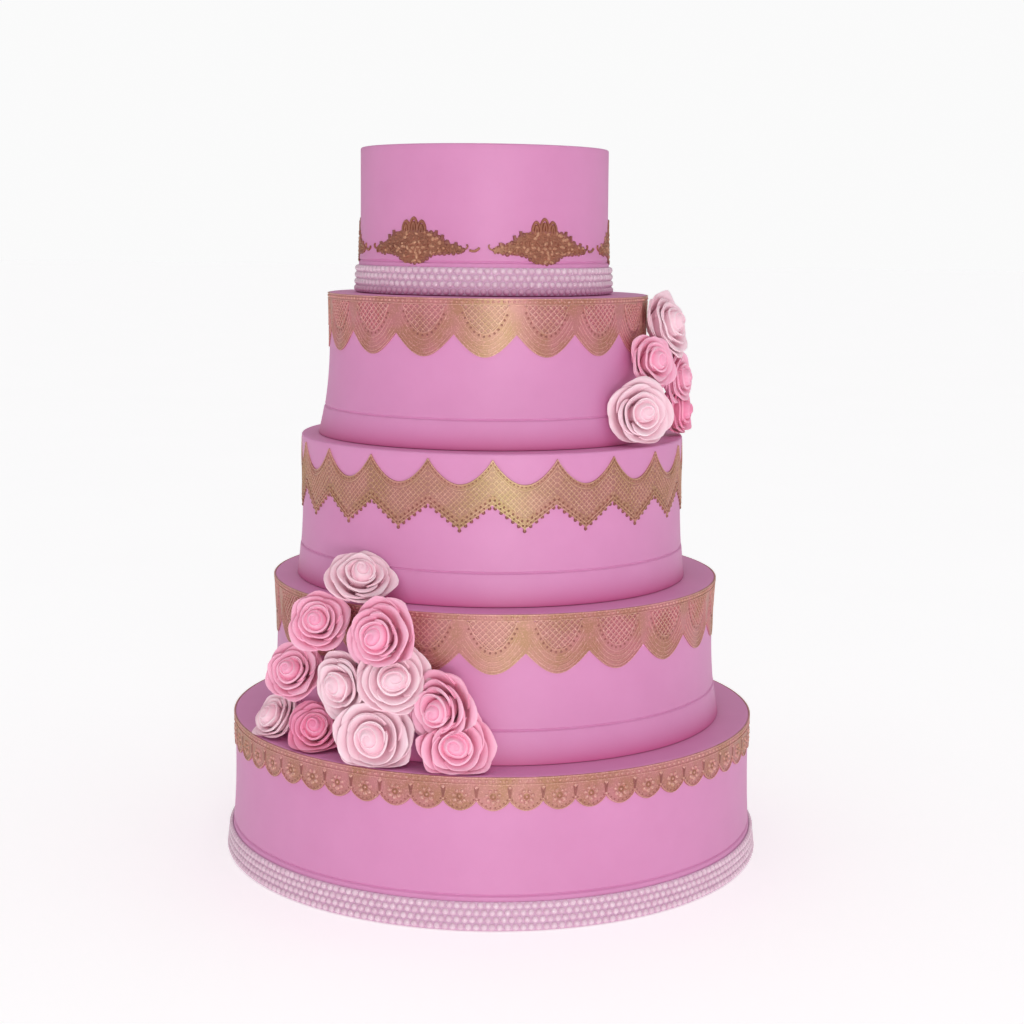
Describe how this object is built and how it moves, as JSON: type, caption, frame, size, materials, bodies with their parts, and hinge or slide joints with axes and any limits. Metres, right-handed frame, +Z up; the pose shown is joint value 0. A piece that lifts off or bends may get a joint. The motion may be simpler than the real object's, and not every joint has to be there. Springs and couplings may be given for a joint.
{
  "type": "floral cake",
  "caption": "Round tiered celebration cake in pink icing with gold lace bands, small pearl trims and two clusters of pink roses.",
  "frame": {"origin": "centre of the bottom tier's underside, on the surface that the cake stands on", "axes": "+Z up; the cake's front faces -Y; +X to the right as seen from the front"},
  "size_m": [0.4146, 0.4146, 0.5349],
  "materials": {
    "icing": "smooth matt pink icing",
    "gold": "rubbed bronze gold lace",
    "pearl": "pearly pink white",
    "petal_pale": "soft matt pale pink",
    "petal_medium": "soft matt pink",
    "petal_deep": "soft matt deep pink"
  },
  "bodies": {
    "root": {"tier_1": "icing", "tier_2": "icing", "tier_3": "icing", "tier_4": "icing", "tier_5": "icing", "lace_1": "gold", "lace_2": "gold", "lace_3": "gold", "lace_4": "gold", "medallion_1": "gold", "medallion_2": "gold", "medallion_3": "gold", "medallion_4": "gold", "medallion_5": "gold", "medallion_6": "gold", "pearl_trim_1": "pearl", "pearl_trim_5": "pearl", "rose_left_01": "petal_pale", "rose_left_02": "petal_medium", "rose_left_03": "petal_medium", "rose_left_04": "petal_medium", "rose_left_05": "petal_pale", "rose_left_06": "petal_pale", "rose_left_07": "petal_pale", "rose_left_08": "petal_deep", "rose_left_09": "petal_pale", "rose_left_10": "petal_medium", "rose_left_11": "petal_medium", "rose_right_01": "petal_pale", "rose_right_02": "petal_medium", "rose_right_03": "petal_medium", "rose_right_04": "petal_pale", "rose_right_05": "petal_deep"}
  },
  "joints": []
}
